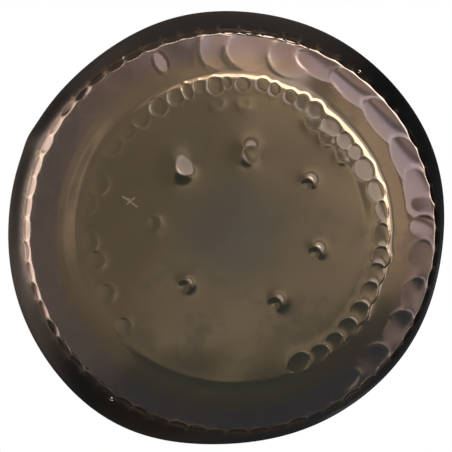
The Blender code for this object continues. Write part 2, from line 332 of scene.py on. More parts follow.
TILTED_BAND = {**BAND, "lip": 0.75, "lean": 1.0}
FAINT_BAND = {**BAND, "lip": 0.10, "crisp": 0.10, "lean": 0.0}
LEAF_FACET = {**RING, "lip": 0.0, "crisp": 0.10, "tip": (3.2, -72.0)}
BLOB_FACET = {**RING, "lip": 0.0, "crisp": 0.42, "tip": (1.0, 180.0)}
CORNER = {**RING, "power": 2.0, "lip": 0.0, "crisp": 0.30, "flat": 0.0}
BULGE = {
    **CORNER, "power": 2.2, "lip": 11.0, "crisp": 0.12, "lean": 1.0, "side": 84.0, "spread": 0.90,
    "swell": 1.0,
}
DENT = {**CORNER, "power": 2.2, "lip": 6.0, "crisp": 0.90, "spread": 0.62}
print("a ring's blow", RING)

# %% [markdown]
# ## One row for every blow
#
# The relief wants one plain table in radians and metres. Each group's table is filled up with its
# manner.

# %% Rows of blows
def blow_rows(table, power, lip, crisp, flat, lean, side, tip, spread, swell):
    """Rows of angle, distance, half length along the ring, half width across it, depth, twist, lean
    direction, lean, power, lip, crispness, flatness, tip and its side, lip width and swell, from a
    table in degrees and millimetres. Both sides are counted from the way outwards."""
    rows = np.array(table)
    if rows.shape[1] == 5:
        rows = np.hstack((rows, np.zeros((len(rows), 1))))
    if rows.shape[1] == 6:
        rows = np.hstack((rows, rows[:, :1] + side, np.full((len(rows), 1), lean)))
    rows[:, (0, 5, 6)] = np.radians(rows[:, (0, 5, 6)])
    rows[:, 1:5] /= 1000
    manner = (power, lip, crisp, flat, *np.radians(tip), spread, swell)
    return np.hstack((rows, np.tile(manner, (len(rows), 1))))


print("a leaf's row", blow_rows(LEAF, **LEAF_FACET).round(3))

# %% [markdown]
# ## The blows round the corner
#
# The shoulder was closed by small even blows all the way round, one row on the corner and a fainter
# one behind it. They are laid out by number, and a seeded hand moves each a little and gives it its
# own weight.

# %% Corner blows
CORNER_COUNT = 62
CORNER_START = 120.0
CORNER_RADIUS = 0.2577
CORNER_ALONG = 0.0136
CORNER_ACROSS = 0.0050
CORNER_DEPTH = 0.0012
RIM_RADIUS = 0.2680
RIM_ACROSS = 0.0090
RIM_DENT = 0.00040
HAND_SEED = 22
HAND_WANDER = 0.0026
HAND_WEIGHT = (0.4, 1.6)


def corner_blows(radius, across, depth):
    """An even ring of blows round the corner, each off its place and weight by a little."""
    hand = np.random.default_rng(HAND_SEED)
    slip, drift = hand.uniform(-HAND_WANDER, HAND_WANDER, (2, CORNER_COUNT))
    weight = hand.uniform(*HAND_WEIGHT, CORNER_COUNT)
    angle = CORNER_START - 360.0 * np.arange(CORNER_COUNT) / CORNER_COUNT + np.degrees(slip / radius)
    same = np.ones(CORNER_COUNT)
    table = (angle, (radius + drift / 2) * 1000, same * CORNER_ALONG * 1000, same * across * 1000,
             depth * weight * 1000)
    return blow_rows(np.stack(table, axis=-1), **CORNER)


# %% [markdown]
# ## The order of the blows
#
# A later blow cuts into an earlier one, so the order is part of the shape. The faint marks come
# first, the crisp ones of each ring after them, and the corner and the single blows last.

# %% All blows in order
blows = np.concatenate((
    blow_rows(SECOND_RING, **SOFT_RING),
    blow_rows(LEFT_RING, **FAINT_RING),
    blow_rows(TOP_RING, **RING),
    blow_rows(RIGHT_RING, **TILTED_RING),
    blow_rows(LEFT_BAND, **FAINT_BAND),
    blow_rows(LEAF, **LEAF_FACET),
    blow_rows(CREAM_BAND, **CREAM),
    blow_rows(TOP_BAND, **BAND),
    blow_rows(BLOB, **BLOB_FACET),
    blow_rows(RIGHT_BAND, **TILTED_BAND),
    corner_blows(RIM_RADIUS, RIM_ACROSS, RIM_DENT),
    corner_blows(CORNER_RADIUS, CORNER_ACROSS, CORNER_DEPTH),
    blow_rows(BULGES, **BULGE),
    blow_rows(DENTS, **DENT),
))
print(len(blows), "blows")

# %% [markdown]
# ## The relief
#
# All blows together give the height of the hammered sheet over the turned one. The same function
# returns how near each place is to a ridge, because the ridges are rubbed lighter later, and on the
# corner are also painted with a highlight. The relief fades out on the rim.

# %% Relief
BLOW_REACH = 1.4
LIP_REACH = 4
RIDGE_WIDTH = 0.10
RIDGE_HEIGHT = 0.0003
FADE_LENGTH = 0.018


def on_section(walked, angle):
    """Where on the turned section a place lies, once the step's wander round the gong is taken off."""
    return walked - waves(angle, STEP_WAVES) * np.exp(-((walked - STEP_RADIUS) / STEP_REACH) ** 2)


def relief(walked, angle):
    """Height of the hammered sheet over the turned one, and how near each place is to a blow's
    ridge.

    A blow's distance is the length of the offset across and along its ring, each over the dish's
    size that way. Inside one, the height becomes the dish: depth times a power of the distance less
    depth, more on the side it leans to. A flat blow also straightens the section under it and may
    tip it to one side. Just outside, a lip falls away as an exponential, and on a bulge it goes on
    inside.
    """
    base = np.interp(on_section(walked, angle), WALKED, HEIGHT)
    height = np.zeros_like(walked)
    ridge = np.zeros_like(walked)
    for turned, distance, along, across, depth, twist, towards, lean, *manner in blows:
        power, lip, crisp, flat, tip, side, spread, swell = manner
        turn = wrapped(angle - turned)
        reach = (BLOW_REACH + LIP_REACH * spread) * max(along, across)
        near = (np.abs(walked * np.cos(turn) - distance) < reach) & (np.cos(turn) > 0)
        near &= np.abs(walked * np.sin(turn)) < reach
        out = walked[near] * np.cos(turn[near]) - distance
        beside = walked[near] * np.sin(turn[near])
        over = (out * cos(twist) - beside * sin(twist)) / across
        along_it = (out * sin(twist) + beside * cos(twist)) / along
        away = np.hypot(over, along_it)
        more = (over * cos(towards - turned - twist) + along_it * sin(towards - turned - twist)) * lean
        hold = eased((1 - away) / crisp)
        middle = on_section(np.array(distance), turned)
        plane = np.interp(middle, WALKED, HEIGHT) - np.tan(np.interp(middle, WALKED, SLOPE)) * out
        plane -= np.tan(tip) * (out * cos(side) + beside * sin(side))
        dish = depth * (away**power - 1) * (1 + more) + flat * (plane - base[near])
        share = ((1 + more / np.maximum(away, 1)) / (1 + lean)) ** (2 - swell)
        bead = lip * depth * share * np.exp(-np.maximum(away - 1, 0) / spread)
        height[near] = (height[near] + bead) * (1 - hold) + (dish + swell * bead) * hold
        sharp = min(depth * (1 + lip) / RIDGE_HEIGHT, 1.0)
        line = share * np.exp(-(((away - 1) / RIDGE_WIDTH) ** 2)) * sharp
        ridge[near] = np.maximum(ridge[near] * (1 - hold), line)
    fade = eased((BEND_END + FADE_LENGTH - walked) / FADE_LENGTH)
    return height * fade, ridge * fade


print("deepest on a ring of the step's blows mm", round(relief(
    np.full(720, 0.188), np.linspace(0, 2 * pi, 720))[0].min() * 1000, 2))

# %% [markdown]
# ## Where the plate sags
#
# Hammering also moves the plate as a whole. The band hangs lower at the top, rises a little on the
# left, and on the lower left the step was never driven down. The long reflections show it: a slope
# that is half a degree off moves them by centimetres.
#
# A row holds the middle and spread of a sag in angle, the start and end of its ramp and its depth,
# and where it has run out.

# %% Sags
RIM_FADE = BEND_END + 0.010
SAGS = (
    (radians(83.0), radians(19.0), 0.1990, 0.2520, 0.0038, RIM_FADE),
    (radians(32.0), radians(32.0), 0.2030, 0.2240, -0.0003, RIM_FADE),
    (radians(13.0), radians(13.0), 0.2205, 0.2520, 0.0011, RIM_FADE),
    (radians(18.0), radians(36.0), 0.1660, 0.1940, 0.00095, RIM_FADE),
    (radians(161.0), radians(27.0), 0.2010, 0.2150, -0.0009, BLANK_RADIUS),
    (radians(161.0), radians(27.0), 0.2010, 0.2240, -0.0010, BLANK_RADIUS),
    (radians(161.0), radians(27.0), 0.2010, 0.2340, -0.0008, BLANK_RADIUS),
)
FILLED_ANGLE = radians(-159.0)
FILLED_SPREAD = radians(52.0)
STEP_DROP = np.concatenate(([0.0], np.cumsum(np.diff(RADIUS) * np.tan(
    STEP_SLOPE * np.exp(-((RADIUS[1:] - STEP_RADIUS) / STEP_WIDTH) ** 2)))))


def sag(walked, angle):
    """Where the plate hangs lower. Each sag is a bell round the gong times a straight ramp
    outwards, and from the bend on it runs out straight to its last place. One more bell fills the
    step in again, where it was never driven down."""
    height = np.zeros_like(walked)
    for centre, spread, start, end, depth, last in SAGS:
        bell = np.exp(-((wrapped(angle - centre) / spread) ** 2))
        ramp = np.clip((walked - start) / (end - start), 0.0, 1.0)
        height -= depth * bell * ramp * np.clip((last - walked) / (last - BEND_START), 0.0, 1.0)
    filled = np.exp(-((wrapped(angle - FILLED_ANGLE) / FILLED_SPREAD) ** 2))
    filled *= np.interp(on_section(walked, angle), WALKED, STEP_DROP)
    return height + filled * np.clip((BLANK_RADIUS - walked) / (BLANK_RADIUS - BEND_START), 0.0, 1.0)


print("step filled in again by mm", round(STEP_DROP[-1] * 1000, 2))

# %% [markdown]
# ## Slight waviness
#
# A hand-beaten plateau is never quite flat. Real waviness has no grain and no repeat, so a few sine
# waves of different lengths run across the blank in every direction, all equally steep.

# %% Waviness
UNEVEN_COUNT = 16
UNEVEN_SLOPE = radians(0.18)
UNEVEN_LENGTHS = (0.055, 0.160)
UNEVEN_SEED = 5
EDGE_MARGIN = 0.020


def uneven(walked, angle):
    """The flat's slight waviness: the sum of straight sine waves that run every way across the
    blank, all of one steepness, none at the filed edge."""
    hand = np.random.default_rng(UNEVEN_SEED)
    height = np.zeros_like(walked)
    steep = UNEVEN_SLOPE / np.sqrt(UNEVEN_COUNT / 2)
    least, most = (0, UNEVEN_LENGTHS[0], 0), (2 * pi, UNEVEN_LENGTHS[1], 2 * pi)
    for way, length, start in hand.uniform(least, most, (UNEVEN_COUNT, 3)):
        turns = walked * np.cos(angle - way) * 2 * pi / length
        height += steep * length / (2 * pi) * np.sin(turns + start)
    return height * eased((BLANK_RADIUS - walked) / EDGE_MARGIN)


print("waviness at the centre mm", round(float(uneven(np.zeros(1), np.zeros(1))[0]) * 1000, 3))

# %% [markdown]
# ## The fine surface
#
# The gong is one closed skin: a fine front, a plainer back one sheet thickness behind it, and the
# flat filed edge between them. A grid of radius and angle suits it. Rows lie close where the hammer
# fell and at the bend, and further apart on smooth metal. A zone gives its end, the gap between
# rows, and the points on each row.

# %% Rows of the grid
FRONT_ZONES = (
    (0.018, 0.006, 60), (0.045, 0.006, 120), (0.084, 0.006, 240), (0.127, 0.0016, 480), (0.150, 0.004, 240),
    (0.172, 0.0026, 480), (0.204, 0.0012, 960), (0.2140, 0.0026, 480), (0.2500, 0.0018, 960),
    (0.2625, 0.0009, 960), (1.0, 0.0035, 480),
)
BACK_ZONES = ((0.020, 0.008, 60), (0.084, 0.010, 120), (1.0, 0.0080, 240))
LAST_GAP = 0.4


def rows_of(zones):
    """Radius and column count of each row, from zones of end radius, row spacing and column count."""
    radius, rows, counts = 0.0, [], []
    for end, spacing, columns in zones:
        while radius + spacing < min(end, BLANK_RADIUS - LAST_GAP * spacing):
            radius += spacing
            rows.append(radius)
            counts.append(columns)
    return np.array(rows + [BLANK_RADIUS]), counts + [counts[-1]]


print("rows", len(rows_of(FRONT_ZONES)[0]), "in front,", len(rows_of(BACK_ZONES)[0]), "behind")

# %% [markdown]
# ## Points of a skin
#
# Every point starts on the turned section, is pushed out of round, and is then moved along the
# sheet's own normal by the relief, the sags and the waviness. The back skin does the same from one
# thickness deeper.

# %% Points of a skin
def skin(walked, angle, depth):
    """Points at a depth under the front skin, moved along the sheet's normal by the relief less the
    depth, and their ridges. Each skin ends in the plane of the back edge."""
    fall = HEIGHT - depth * np.cos(SLOPE)
    rim = WALKED > BEND_END
    end = np.interp(-HEIGHT[-1], -fall[rim], WALKED[rim])
    place = walked * end / BLANK_RADIUS
    section = on_section(place, angle)
    slope = np.interp(section, WALKED, SLOPE)
    struck, ridge = relief(place, angle)
    lift = struck + sag(place, angle) + uneven(place, angle) - depth
    radius = np.interp(place, WALKED, RADIUS) + out_of_round(place, angle) + lift * np.sin(slope)
    height = np.interp(section, WALKED, HEIGHT) + lift * np.cos(slope)
    return np.stack((radius * np.cos(angle), -height, radius * np.sin(angle)), axis=-1), ridge


def spread(zones, depth):
    """All points of a skin, their ridges and walked lengths: the centre, then each row's ring, with
    the index where each ring starts and its count."""
    rows, counts = rows_of(zones)
    walked = np.concatenate([[0.0]] + [np.full(count, row) for row, count in zip(rows, counts)])
    angle = np.concatenate([[0.0]] + [2 * pi * np.arange(count) / count for count in counts])
    starts = 1 + np.concatenate(([0], np.cumsum(counts)))[:-1]
    return *skin(walked, angle, depth), walked, starts, counts


front, front_ridge, front_walked, front_starts, front_counts = spread(FRONT_ZONES, 0.0)
back, back_ridge, back_walked, back_starts, back_counts = spread(BACK_ZONES, SHEET_THICKNESS)
points = np.concatenate((front, back))
shift = (np.array(cad_box).sum(axis=0) - points.max(axis=0) - points.min(axis=0)) / 2
points += shift
print(len(front), "points in front,", len(back), "behind, moved by mm", np.round(shift * 1000, 2))

# %% [markdown]
# ## Faces of a skin
#
# Rings of equal count are joined by quads. Where the count doubles, three triangles fill each cell,
# so no point is left hanging on an edge and the skin stays closed.

# %% Faces of a skin
def stitch(inner, inner_count, outer, outer_count):
    """Quads and triangles between two rings of points. One may hold twice as many points as the
    other, and then three triangles fill each cell of the coarser ring."""
    if inner_count == outer_count:
        here = np.arange(inner_count)
        after = (here + 1) % inner_count
        quads = np.stack((inner + here, inner + after, outer + after, outer + here), axis=-1)
        return quads, np.empty((0, 3), int)
    widening = outer_count > inner_count
    fine, coarse, count = (outer, inner, inner_count) if widening else (inner, outer, outer_count)
    here = np.arange(count)
    after = (here + 1) % count
    left, middle, right = fine + 2 * here, fine + 2 * here + 1, fine + (2 * here + 2) % (2 * count)
    tris = np.concatenate((
        np.stack((coarse + here, middle, left), axis=-1),
        np.stack((coarse + here, coarse + after, middle), axis=-1),
        np.stack((coarse + after, right, middle), axis=-1),
    ))
    return np.empty((0, 4), int), tris if widening else tris[:, ::-1]


def faces_of(first, starts, counts):
    """Every face of a skin whose points begin at first: a fan at its centre, then ring to ring."""
    spoke = np.arange(counts[0])
    rings = first + starts
    quads = []
    fan = (np.full(counts[0], first), rings[0] + (spoke + 1) % counts[0], rings[0] + spoke)
    tris = [np.stack(fan, axis=-1)]
    for place in range(len(rings) - 1):
        more, rest = stitch(rings[place], counts[place], rings[place + 1], counts[place + 1])
        quads.append(more)
        tris.append(rest)
    return np.concatenate(quads), np.concatenate(tris)


front_quads, front_tris = faces_of(0, front_starts, front_counts)
back_quads, back_tris = faces_of(len(front), back_starts, back_counts)
back_edge = len(front) + back_starts[-1]
edge_quads, edge_tris = stitch(back_edge, back_counts[-1], front_starts[-1], front_counts[-1])
quads = np.concatenate((front_quads[:, ::-1], back_quads, edge_quads))
tris = np.concatenate((front_tris[:, ::-1], back_tris, edge_tris[:, ::-1]))
corners = points[np.concatenate((quads[:, :3], quads[:, [0, 2, 3]], tris))]
volume = np.einsum("ij,ij->i", corners[:, 0], np.cross(corners[:, 1], corners[:, 2])).sum() / 6
print(len(corners), "triangles round", round(volume * 1e6, 1), "cm3, so the faces point outwards")

# %% [markdown]
# ## The mesh
#
# The arrays go into a mesh in one step. The piece stands in for the plain solid and rides with its
# body.

# %% Mesh
def mesh_from(name, points, quads, tris):
    """A mesh from arrays of points, quads and triangles, put in with foreach_set."""
    mesh = bpy.data.meshes.new(name)
    mesh.vertices.add(len(points))
    mesh.vertices.foreach_set("co", points.astype(np.float32).ravel())
    corners = np.concatenate((quads.ravel(), tris.ravel())).astype(np.int32)
    mesh.loops.add(len(corners))
    mesh.loops.foreach_set("vertex_index", corners)
    sizes = np.concatenate((np.full(len(quads), 4), np.full(len(tris), 3)))
    starts = np.concatenate(([0], np.cumsum(sizes)[:-1])).astype(np.int32)
    mesh.polygons.add(len(sizes))
    mesh.polygons.foreach_set("loop_start", starts)
    mesh.update(calc_edges=True)
    print("repaired", mesh.validate())
    mesh.shade_smooth()
    return mesh


surface = mesh_from("gong_surface", points, quads, tris)
gong = bpy.data.objects.new("gong_surface", surface)
bpy.context.collection.objects.link(gong)
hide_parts("gong")
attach(gong, "root")

# %% [markdown]
# ## What the metal needs to know
#
# The material can't tell where the shoulder is or which edge a hammer raised. Three values per
# point say so: the walked length, how near a ridge lies, and whether the point is on the hollow
# side.

# %% Attributes for the metal
for name, front_values, back_values in (
    ("walked", front_walked, back_walked),
    ("ridge", front_ridge, back_ridge * 0),
    ("hollow", front_walked * 0, back_walked * 0 + 1),
):
    values = np.concatenate((front_values, back_values)).astype(np.float32)
    surface.attributes.new(name, "FLOAT", "POINT").data.foreach_set("value", values)
    print(name, "up to", round(float(values.max()), 3))

# %% [markdown]
# ## The holes
#
# Four small holes were drilled near the shoulder, two above for the hanging cord and two below, and
# each was countersunk by hand from the front. Each drill is a solid of revolution set along the
# sheet's own normal. One exact Boolean cuts all four. A row gives a hole's angle in degrees and how
# far it lies behind the corner.

# %% Drills
HOLES = ((122.6, 0.0085), (51.3, 0.0085), (-126.8, 0.0110), (-56.2, 0.0240))
HOLE_RADIUS = 0.0011
SINK_RADIUS = 0.0040
SINK_DEPTH = 0.0011
DRILL_REACH = 0.006
DRILL_SIDES = 48
DRILL_PROFILE = (
    (-DRILL_REACH, 0.0), (-DRILL_REACH, HOLE_RADIUS), (-SINK_DEPTH, HOLE_RADIUS),
    (-SINK_DEPTH * 0.5, HOLE_RADIUS * 0.6 + SINK_RADIUS * 0.4),
    (0.0, HOLE_RADIUS * 0.2 + SINK_RADIUS * 0.8),
    (SINK_DEPTH * 0.5, SINK_RADIUS), (DRILL_REACH, SINK_RADIUS), (DRILL_REACH, 0.0),
)


def hole_frame(degrees, behind):
    """Where a hole meets the front skin, its walked length, the sheet's normal there and the way
    outwards along the sheet."""
    walked, angle = (BEND_START + BEND_END) / 2 + behind, radians(degrees)
    slope = float(np.interp(walked, WALKED, SLOPE))
    spot = skin(np.array([walked]), np.array([angle]), 0.0)[0][0] + shift
    normal = np.array((sin(slope) * cos(angle), -cos(slope), sin(slope) * sin(angle)))
    outwards = np.array((cos(slope) * cos(angle), sin(slope), cos(slope) * sin(angle)))
    return spot, walked, normal, outwards


def drill_parts(spot, normal, outwards, first):
    """Points, quads and triangles of a drill: its profile turned round the normal, each end fanned."""
    turn = 2 * pi * np.arange(DRILL_SIDES) / DRILL_SIDES
    spin = np.outer(np.cos(turn), outwards) + np.outer(np.sin(turn), np.cross(normal, outwards))
    height, radius = np.array(DRILL_PROFILE).T
    rings = spot + normal * height[1:-1, None, None] + spin * radius[1:-1, None, None]
    ends = spot + normal * height[[0, -1], None]
    here, after = np.arange(DRILL_SIDES), (np.arange(DRILL_SIDES) + 1) % DRILL_SIDES
    base = first + 2 + DRILL_SIDES * np.arange(len(rings))[:, None]
    quads = np.stack((base[:-1] + here, base[:-1] + after, base[1:] + after, base[1:] + here), axis=-1)
    tris = np.concatenate((
        np.stack((np.full(DRILL_SIDES, first), base[0] + after, base[0] + here), axis=-1),
        np.stack((np.full(DRILL_SIDES, first + 1), base[-1] + here, base[-1] + after), axis=-1),
    ))
    return np.concatenate((ends, rings.reshape(-1, 3))), quads.reshape(-1, 4), tris


frames = [hole_frame(*hole) for hole in HOLES]
for spot, walked, normal, outwards in frames:
    print("hole at mm", np.round(spot * 1000, 1))

# %% [markdown]
# ## The cut
#
# All four drills are one mesh, taken away in one go and then deleted.

# %% Cut
parts = []
for spot, walked, normal, outwards in frames:
    parts.append(drill_parts(spot, normal, outwards, sum(len(part[0]) for part in parts)))
drill_arrays = [np.concatenate(group) for group in zip(*parts)]
drill = bpy.data.objects.new("drill", mesh_from("drill", *drill_arrays))
bpy.context.collection.objects.link(drill)
cut = gong.modifiers.new("holes", "BOOLEAN")
cut.operation, cut.solver, cut.object = "DIFFERENCE", "EXACT", drill
bpy.context.view_layer.objects.active = gong
gong.select_set(True)
bpy.ops.object.modifier_apply(modifier=cut.name)
bpy.data.objects.remove(drill)
surface = gong.data
print(len(surface.vertices) - len(points), "points more after the cut")

# %% [markdown]
# ## After the cut
#
# The Boolean made new points with no values, seen by a walked length that is far too small for the
# rim. Their true one follows from how far outwards they lie from the middle of their hole. A narrow
# ring of each countersink is marked as bare metal without patina, where the drill's shoulder
# rubbed.

# %% Values of the cut points
CUT_MARGIN = 0.004
RUBBED_RADIUS = 0.0036
RUBBED_WIDTH = 0.00045
SHARP_ANGLE = radians(38.0)
place_now = np.empty(len(surface.vertices) * 3, np.float32)
surface.vertices.foreach_get("co", place_now)
place_now = place_now.reshape(-1, 3)
walked_now = np.empty(len(place_now), np.float32)
surface.attributes["walked"].data.foreach_get("value", walked_now)
bare_now = np.zeros(len(place_now), np.float32)
for spot, walked, normal, outwards in frames:
    offset = place_now - spot
    across_it = np.linalg.norm(offset - np.outer(offset @ normal, normal), axis=-1)
    close = (np.abs(offset @ normal) < DRILL_REACH) & (across_it < SINK_RADIUS + CUT_MARGIN)
    lost = close & (walked_now < SHOULDER_RADIUS / 2)
    walked_now[lost] = walked + offset[lost] @ outwards
    bare_now[close & (np.abs(across_it - RUBBED_RADIUS) < RUBBED_WIDTH)] = 1.0
surface.attributes["walked"].data.foreach_set("value", walked_now)
corner_points = np.empty(len(surface.loops), np.int32)
surface.loops.foreach_get("vertex_index", corner_points)
face_starts = np.empty(len(surface.polygons), np.int32)
surface.polygons.foreach_get("loop_start", face_starts)
bare_faces = np.minimum.reduceat(bare_now[corner_points], face_starts)
surface.attributes.new("bare", "FLOAT", "FACE").data.foreach_set("value", bare_faces)
surface.shade_smooth()
surface.set_sharp_from_angle(angle=SHARP_ANGLE)
print(int(bare_faces.sum()), "bare faces")

# %% [markdown]
# ## The metal
#
# The gong is lacquered bronze, toned by heat and handling. Its colour changes with the walked
# length: grey brown in the middle, gold by the step, a purple cast on the band, lighter at the
# corner and darker on the rim. The lighter corner is partly rubbed metal and partly a painted
# highlight, and the darker rim is partly dark oxide and partly a painted dark reflection. Clouds
# wander over it, the ridges of the blows are rubbed lighter, more so on the corner where this is also
# a painted highlight, and the cut metal in the holes and along the edge is bare. Shared effects sit
# in node groups that give out masks and heights only.

# %% Node helpers
def add_node(tree, kind, **settings):
    """A new node with its properties set."""
    node = tree.nodes.new(kind)
    for name, value in settings.items():
        setattr(node, name, value)
    return node


def feed(tree, node, **sources):
    """Fill a node's inputs, given by name or by number after in_, from sockets or constant values."""
    for name, source in sources.items():
        key = int(name[3:]) if name.startswith("in_") else name.replace("_", " ")
        if isinstance(source, bpy.types.NodeSocket):
            tree.links.new(source, node.inputs[key])
        else:
            node.inputs[key].default_value = source
    return node


def maths(tree, operation, *values):
    """One sum of sockets or constants."""
    node = add_node(tree, "ShaderNodeMath", operation=operation)
    return feed(tree, node, **{f"in_{number}": value for number, value in enumerate(values)}).outputs[0]


def ease(tree, value, low, high, start=0.0, end=1.0):
    """A value brought smoothly from one range to another."""
    node = add_node(tree, "ShaderNodeMapRange", interpolation_type="SMOOTHSTEP")
    return feed(tree, node, Value=value, From_Min=low, From_Max=high, To_Min=start, To_Max=end).outputs[0]


def vector_maths(tree, operation, output, *values, **named):
    """One sum of vectors."""
    node = add_node(tree, "ShaderNodeVectorMath", operation=operation)
    named.update({f"in_{number}": value for number, value in enumerate(values)})
    return feed(tree, node, **named).outputs[output]


def blend(tree, share, first, second):
    """Two colours mixed by a share."""
    node = add_node(tree, "ShaderNodeMix", data_type="RGBA")
    return feed(tree, node, in_0=share, in_6=first, in_7=second).outputs[2]


def new_group(name, vectors, numbers, output):
    """A node group with its sockets made, vectors before plain numbers, and its two end nodes."""
    group = bpy.data.node_groups.new(name, "ShaderNodeTree")
    for names, kind in ((vectors, "NodeSocketVector"), (numbers, "NodeSocketFloat")):
        for socket in names:
            group.interface.new_socket(socket, in_out="INPUT", socket_type=kind)
    group.interface.new_socket(output, in_out="OUTPUT", socket_type="NodeSocketFloat")
    return group, group.nodes.new("NodeGroupInput"), group.nodes.new("NodeGroupOutput")


def use_group(tree, group, output, **sources):
    """The output of a node group placed in a tree."""
    node = add_node(tree, "ShaderNodeGroup", node_tree=group)
    return feed(tree, node, **sources).outputs[output]


# %% [markdown]
# ## Clouds
#
# Stains, warmth and wear all come in patches, so cloudy noise between two levels is a node group of
# its own.

# %% Clouds
def clouds_group():
    """A node group: cloudy patches from zero to one, from noise of one scale between two levels."""
    group, start, finish = new_group("Clouds", ("Vector",), ("Scale", "Low", "High"), "Mask")
    noise = feed(group, add_node(group, "ShaderNodeTexNoise"), Vector=start.outputs["Vector"],
                 Scale=start.outputs["Scale"], Detail=5.0, Roughness=0.6)
    mask = ease(group, noise.outputs["Fac"], start.outputs["Low"], start.outputs["High"])
    group.links.new(mask, finish.inputs["Mask"])
    return group


clouds = clouds_group()
print("group", clouds.name)

# %% [markdown]
# ## Rings and spokes
#
# The lathe leaves rings and the brush leaves spokes. Both are noise drawn out along one direction,
# so one group serves them with other factors.

# %% Rings and spokes
SEEN_FROM_FRONT = (1.0, 0.0, 1.0)


def polar_group():
    """A node group: noise drawn out along circles or along spokes.

    The noise is read at the unit direction from the axis times one factor, and the radius times
    another, so that it closes round the gong without a seam.
    """
    group, start, finish = new_group("Polar Noise", ("Vector",), ("Around", "Outward"), "Height")
    flat = vector_maths(group, "MULTIPLY", 0, start.outputs["Vector"], SEEN_FROM_FRONT)
    radius = vector_maths(group, "LENGTH", "Value", flat)
    way = vector_maths(group, "NORMALIZE", 0, flat)
    spread_way = vector_maths(group, "SCALE", 0, way, Scale=start.outputs["Around"])
    length = add_node(group, "ShaderNodeCombineXYZ")
    feed(group, length, Y=maths(group, "MULTIPLY", radius, start.outputs["Outward"]))
    spot = vector_maths(group, "ADD", 0, spread_way, length.outputs[0])
    noise = feed(group, add_node(group, "ShaderNodeTexNoise"), Vector=spot, Scale=1.0, Detail=3.0,
                 Roughness=0.6)
    group.links.new(noise.outputs["Fac"], finish.inputs["Height"])
    return group


polar = polar_group()
print("group", polar.name)

# %% [markdown]
# ## A soft stroke
#
# A scratch is a short line with soft sides. The group finds how far each place lies from the line.

# %% Stroke
def stroke_group():
    """A node group: a soft line between two points, seen from the front.

    The share along the line is the offset dotted with the line over the line's length squared, held
    between nought and one. The mask falls off with the distance from the point at that share.
    """
    group, start, finish = new_group("Stroke", ("Vector", "From", "To"), ("Width",), "Mask")
    flat = []
    for end in ("Vector", "To"):
        apart = vector_maths(group, "SUBTRACT", 0, start.outputs[end], start.outputs["From"])
        flat.append(vector_maths(group, "MULTIPLY", 0, apart, SEEN_FROM_FRONT))
    offset, line = flat
    dots = [vector_maths(group, "DOT_PRODUCT", "Value", other, line) for other in (offset, line)]
    share = maths(group, "MINIMUM", maths(group, "MAXIMUM", maths(group, "DIVIDE", *dots), 0.0), 1.0)
    along = vector_maths(group, "SCALE", 0, line, Scale=share)
    away = vector_maths(group, "DISTANCE", "Value", offset, along)
    group.links.new(ease(group, away, start.outputs["Width"], 0.0), finish.inputs["Mask"])
    return group


stroke = stroke_group()
print("group", stroke.name)

# %% [markdown]
# ## The bronze
#
# One metallic shader reads its place in object coordinates and the values kept on the points.

# %% Material
metal = bpy.data.materials.new("patinated_bronze")
metal.use_nodes = True
web = metal.node_tree
shader = web.nodes["Principled BSDF"]
shader.inputs["Metallic"].default_value = 1.0
where = add_node(web, "ShaderNodeTexCoord").outputs["Object"]
value_of = {}
for name in ("walked", "ridge", "hollow", "bare"):
    value_of[name] = add_node(web, "ShaderNodeAttribute", attribute_name=name).outputs["Fac"]
print("values of the surface", list(value_of))

# %% [markdown]
# ## Colour from the centre outwards
#
# A ramp over the walked length gives the patina, shifted a little by clouds so that no ring of
# colour is true. Its light stop at the corner is partly a painted highlight, and its dark rim is
# partly a painted dark reflection. Stains darken it, warmth reddens the band, and the ridges and the
# filed edge are rubbed lighter; the corner's ridges are lighter still, partly wear and partly a
# painted highlight.

# %% Colour
PATINA_AND_PAINTED_LIGHT = (
    (0.000, (0.112, 0.100, 0.080)),
    (0.045, (0.118, 0.102, 0.079)),
    (0.085, (0.140, 0.113, 0.074)),
    (0.180, (0.152, 0.120, 0.077)),
    (0.200, (0.186, 0.143, 0.092)),
    (0.218, (0.168, 0.126, 0.084)),
    (0.232, (0.150, 0.115, 0.102)),
    (0.250, (0.146, 0.114, 0.104)),
    # The light stop at the corner is partly rubbed metal, partly a painted highlight.
    (0.2575, (0.190, 0.150, 0.127)),
    # From here out the rim darkens: partly dark oxide, partly a painted dark reflection.
    (0.264, (0.110, 0.092, 0.082)),
    (0.274, (0.085, 0.078, 0.076)),
    (0.300, (0.080, 0.075, 0.073)),
)
WOBBLE = 0.016
STAIN_TONE = (0.098, 0.090, 0.070, 1.0)
WARM_TONE = (0.190, 0.118, 0.082, 1.0)
# The worn tone also paints the highlight on the corner's ridges.
WORN_AND_SHEEN_TONE = (0.480, 0.390, 0.290, 1.0)
BARE_TONE = (0.620, 0.500, 0.340, 1.0)
HOLLOW_TONE = (0.120, 0.088, 0.055, 1.0)
STAIN_SHARE = 0.35
WARM_SHARE = 0.35
RIDGE_WEAR = 0.22
# More worn tone on the corner's ridges: partly wear, partly a painted highlight.
CORNER_WEAR_AND_SHEEN = 0.36
EDGE_WEAR = 0.5
HOLLOW_SHARE = 0.8
drift = use_group(web, clouds, "Mask", Vector=where, Scale=11.0, Low=0.0, High=1.0)
level = maths(web, "MULTIPLY_ADD", drift, WOBBLE, value_of["walked"])
ramp = add_node(web, "ShaderNodeValToRGB")
feed(web, ramp, Fac=maths(web, "DIVIDE", maths(web, "SUBTRACT", level, WOBBLE / 2), BLANK_RADIUS))
for number, (at, tone) in enumerate(PATINA_AND_PAINTED_LIGHT):
    stop = ramp.color_ramp.elements[0] if number == 0 else ramp.color_ramp.elements.new(at / BLANK_RADIUS)
    stop.position = at / BLANK_RADIUS
    stop.color = (*tone, 1.0)
ramp.color_ramp.elements.remove(ramp.color_ramp.elements[-1])
stains = use_group(web, clouds, "Mask", Vector=where, Scale=26.0, Low=0.47, High=0.70)
